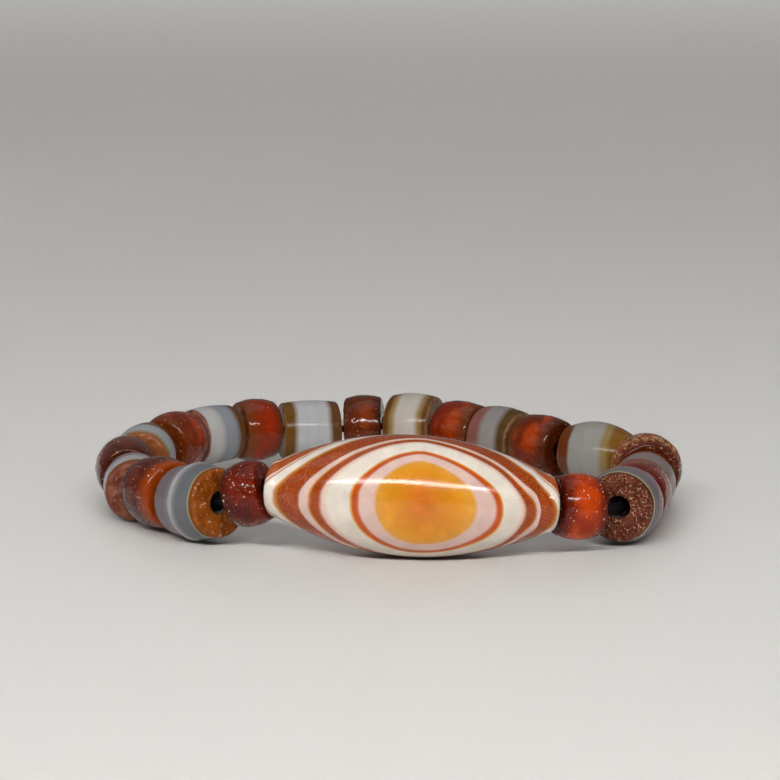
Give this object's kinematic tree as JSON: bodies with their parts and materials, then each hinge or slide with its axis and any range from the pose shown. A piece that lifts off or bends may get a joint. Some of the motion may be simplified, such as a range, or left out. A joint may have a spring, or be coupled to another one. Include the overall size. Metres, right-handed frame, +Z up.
{
  "type": "dzi bead bracelet",
  "caption": "Elastic bead bracelet: a long banded-agate eye bead in a loop of drilled round carnelian and grey-white agate beads, strung on a black elastic thread.",
  "frame": {"origin": "on the surface that the bracelet lies on, below the middle of its outline seen from above", "axes": "+X along the eye bead, to the right seen from the front; +Y to the back; +Z up, along the wrist opening"},
  "size_m": [0.0704, 0.0634, 0.0135],
  "materials": {
    "sardonyx": "polished, satin gloss",
    "carnelian": "tumbled, pitted gloss",
    "banded_agate": "polished gloss",
    "black_elastic": "satin"
  },
  "bodies": {
    "root": {"eye_bead": "sardonyx", "carnelian_bead_01": "carnelian", "agate_bead_02": "banded_agate", "carnelian_bead_03": "carnelian", "agate_bead_04": "banded_agate", "carnelian_bead_05": "carnelian", "agate_bead_06": "banded_agate", "carnelian_bead_07": "carnelian", "agate_bead_08": "banded_agate", "carnelian_bead_09": "carnelian", "agate_bead_10": "banded_agate", "carnelian_bead_11": "carnelian", "agate_bead_12": "banded_agate", "carnelian_bead_13": "carnelian", "agate_bead_14": "banded_agate", "carnelian_bead_15": "carnelian", "agate_bead_16": "banded_agate", "carnelian_bead_17": "carnelian", "agate_bead_18": "banded_agate", "carnelian_bead_19": "carnelian", "agate_bead_20": "banded_agate", "carnelian_bead_21": "carnelian", "elastic_thread": "black_elastic"}
  },
  "joints": []
}
